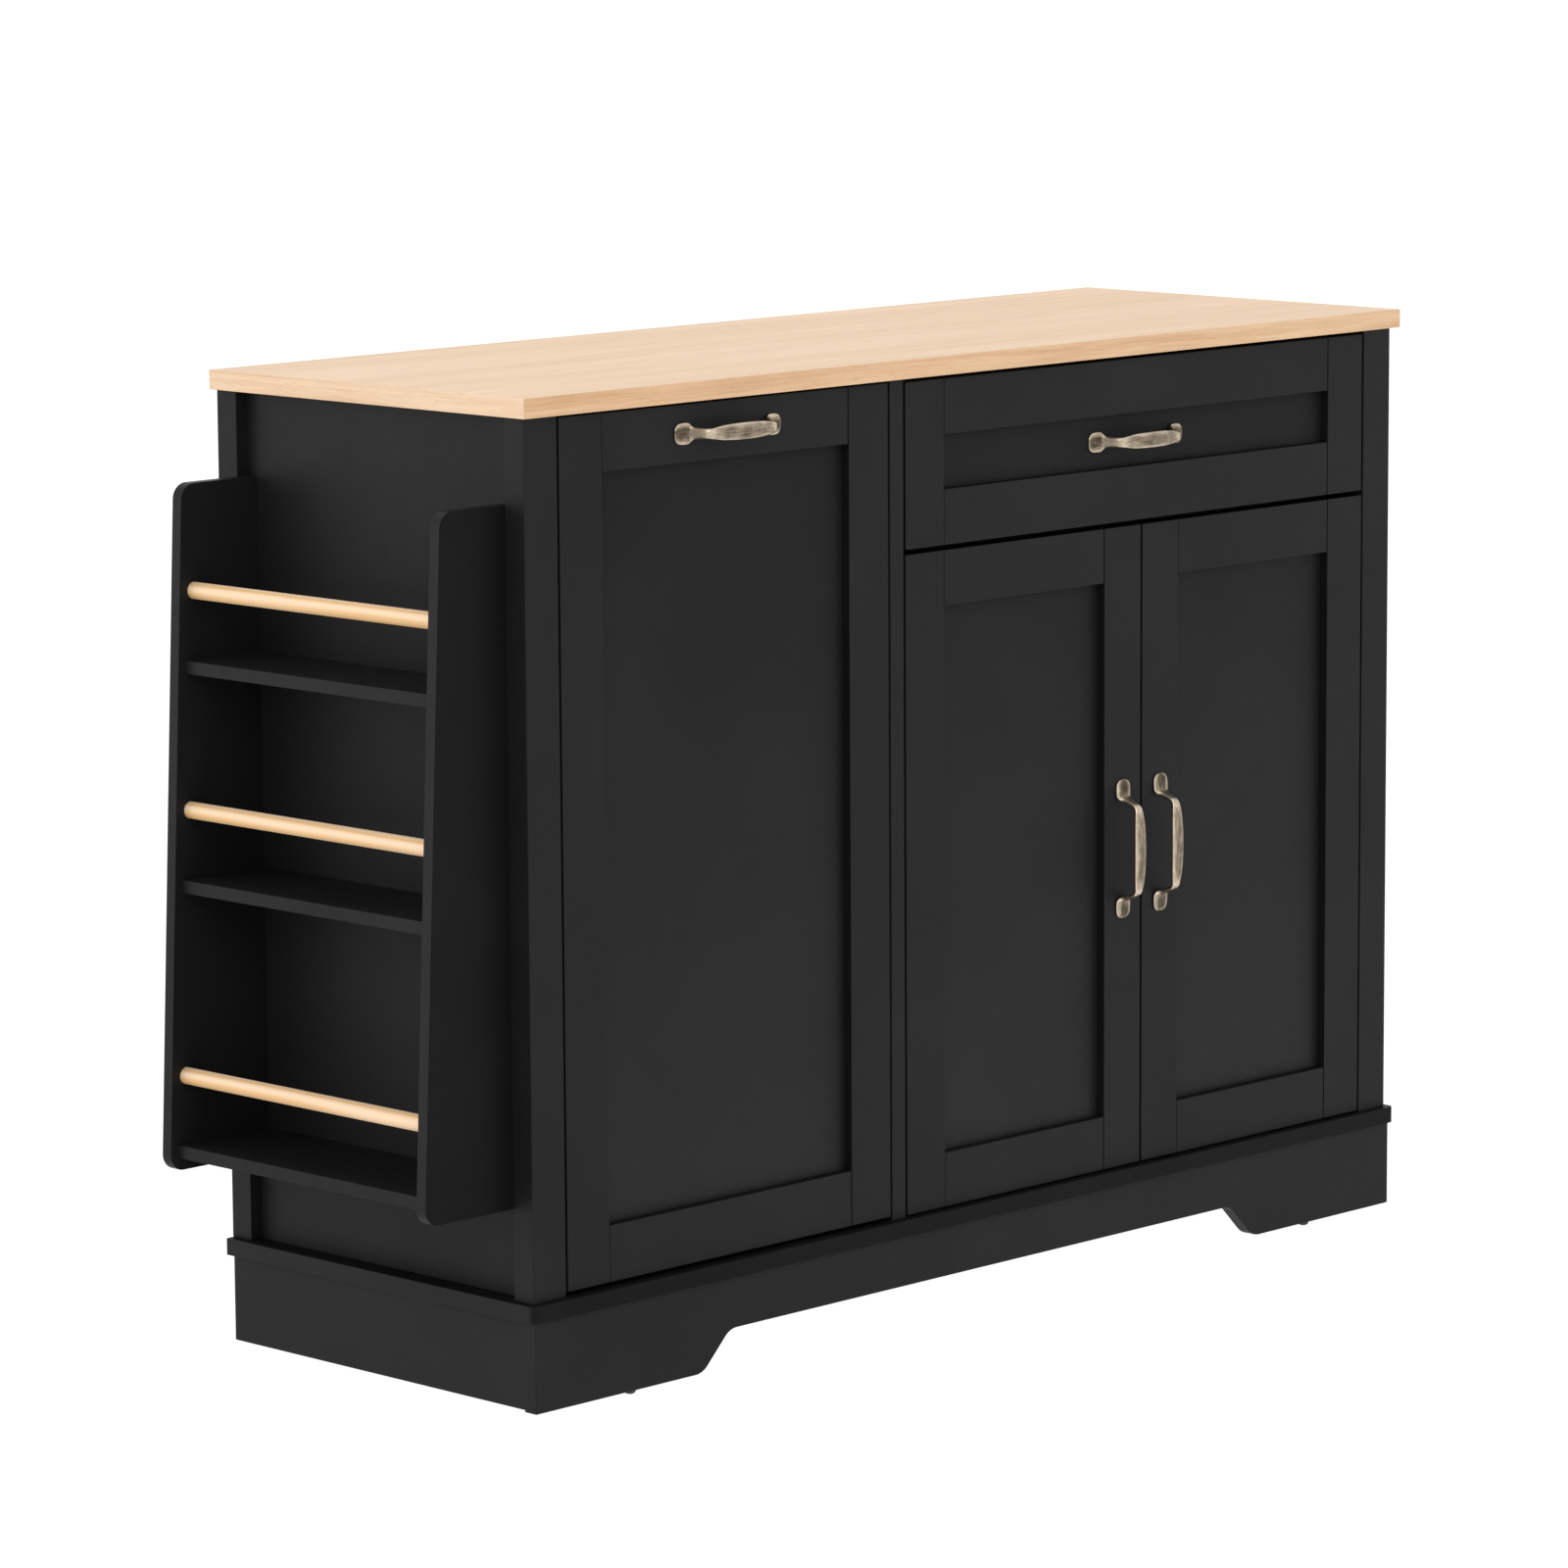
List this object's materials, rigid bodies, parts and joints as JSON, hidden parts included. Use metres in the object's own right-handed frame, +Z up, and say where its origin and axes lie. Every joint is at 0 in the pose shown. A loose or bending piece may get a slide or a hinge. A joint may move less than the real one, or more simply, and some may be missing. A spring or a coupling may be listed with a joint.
{
  "type": "kitchen island",
  "caption": "Kitchen island with an oak worktop, a tilt-out bin behind a tall door, a drawer over a two-door cupboard and an open spice rack on one end.",
  "frame": {"origin": "middle of the bounding box's underside, on the floor", "axes": "+X to the right seen from the front, +Y to the back, +Z up; the fronts face -Y"},
  "size_m": [1.3002, 0.434, 0.911],
  "materials": {
    "black_paint": "satin black paint on fibreboard",
    "oak": "matt light oak with straight grain",
    "pine": "bare sanded pine",
    "antique_brass": "brushed antique brass",
    "zinc_steel": "zinc plated",
    "nylon": "black moulded nylon"
  },
  "bodies": {
    "cabinet": {"worktop": "oak", "base_board": "black_paint", "skirt_front": "black_paint", "skirt_left": "black_paint", "skirt_right": "black_paint", "skirt_back": "black_paint", "glide_front_left": "nylon", "glide_front_right": "nylon", "glide_back_left": "nylon", "glide_back_right": "nylon", "post_front_left": "black_paint", "post_front_right": "black_paint", "post_back_left": "black_paint", "post_back_right": "black_paint", "side_panel_left": "black_paint", "side_panel_right": "black_paint", "partition": "black_paint", "back_panel": "black_paint", "back_stile": "black_paint", "right_cheek": "black_paint", "drawer_deck": "black_paint", "cupboard_shelf": "black_paint", "bin_pivot_left": "zinc_steel", "bin_pivot_right": "zinc_steel", "bin_stop_left": "zinc_steel", "bin_stop_right": "zinc_steel", "slide_outer_left": "zinc_steel", "slide_outer_right": "zinc_steel", "hinge_arm_left_lower": "zinc_steel", "hinge_arm_right_lower": "zinc_steel", "hinge_arm_left_upper": "zinc_steel", "hinge_arm_right_upper": "zinc_steel", "rack_side_front": "black_paint", "rack_side_back": "black_paint", "rack_rail_lower": "pine", "rack_rail_middle": "pine", "rack_rail_upper": "pine", "rack_shelf_lower": "black_paint", "rack_shelf_middle": "black_paint", "rack_shelf_upper": "black_paint"},
    "bin": {"bin_door": "black_paint", "bin_handle": "antique_brass", "bin_floor": "black_paint", "bin_side_left": "black_paint", "bin_side_right": "black_paint", "bin_back_rail": "black_paint"},
    "drawer": {"drawer_front": "black_paint", "drawer_handle": "antique_brass", "drawer_side_left": "black_paint", "drawer_side_right": "black_paint", "drawer_back": "black_paint", "drawer_bottom": "black_paint", "slide_inner_left": "zinc_steel", "slide_inner_right": "zinc_steel"},
    "slide_middles": {"slide_middle_left": "zinc_steel", "slide_middle_right": "zinc_steel"},
    "door_left": {"cupboard_door_left": "black_paint", "cupboard_handle_left": "antique_brass"},
    "door_right": {"cupboard_door_right": "black_paint", "cupboard_handle_right": "antique_brass"}
  },
  "joints": [
    {"name": "bin_tilt", "type": "hinge", "parent": "cabinet", "child": "bin", "pos_m": [-0.29311, -0.185, 0.11575], "axis": [1, 0, 0], "range_deg": [0, 30]},
    {"name": "drawer_slide", "type": "slide", "parent": "cabinet", "child": "drawer", "axis": [0, -1, 0], "range_m": [0, 0.28]},
    {"name": "slide_middle_travel", "type": "slide", "parent": "cabinet", "child": "slide_middles", "axis": [0, -1, 0], "range_m": [0, 0.14]},
    {"name": "door_left_swing", "type": "hinge", "parent": "cabinet", "child": "door_left", "pos_m": [-0.04886, -0.186, 0.417], "axis": [0, 0, -1], "range_deg": [0, 90]},
    {"name": "door_right_swing", "type": "hinge", "parent": "cabinet", "child": "door_right", "pos_m": [0.58764, -0.186, 0.417], "axis": [0, 0, 1], "range_deg": [0, 90]}
  ],
  "couplings": [
    {"joint": "slide_middle_travel", "follows": "drawer_slide", "ratio": 0.5}
  ]
}
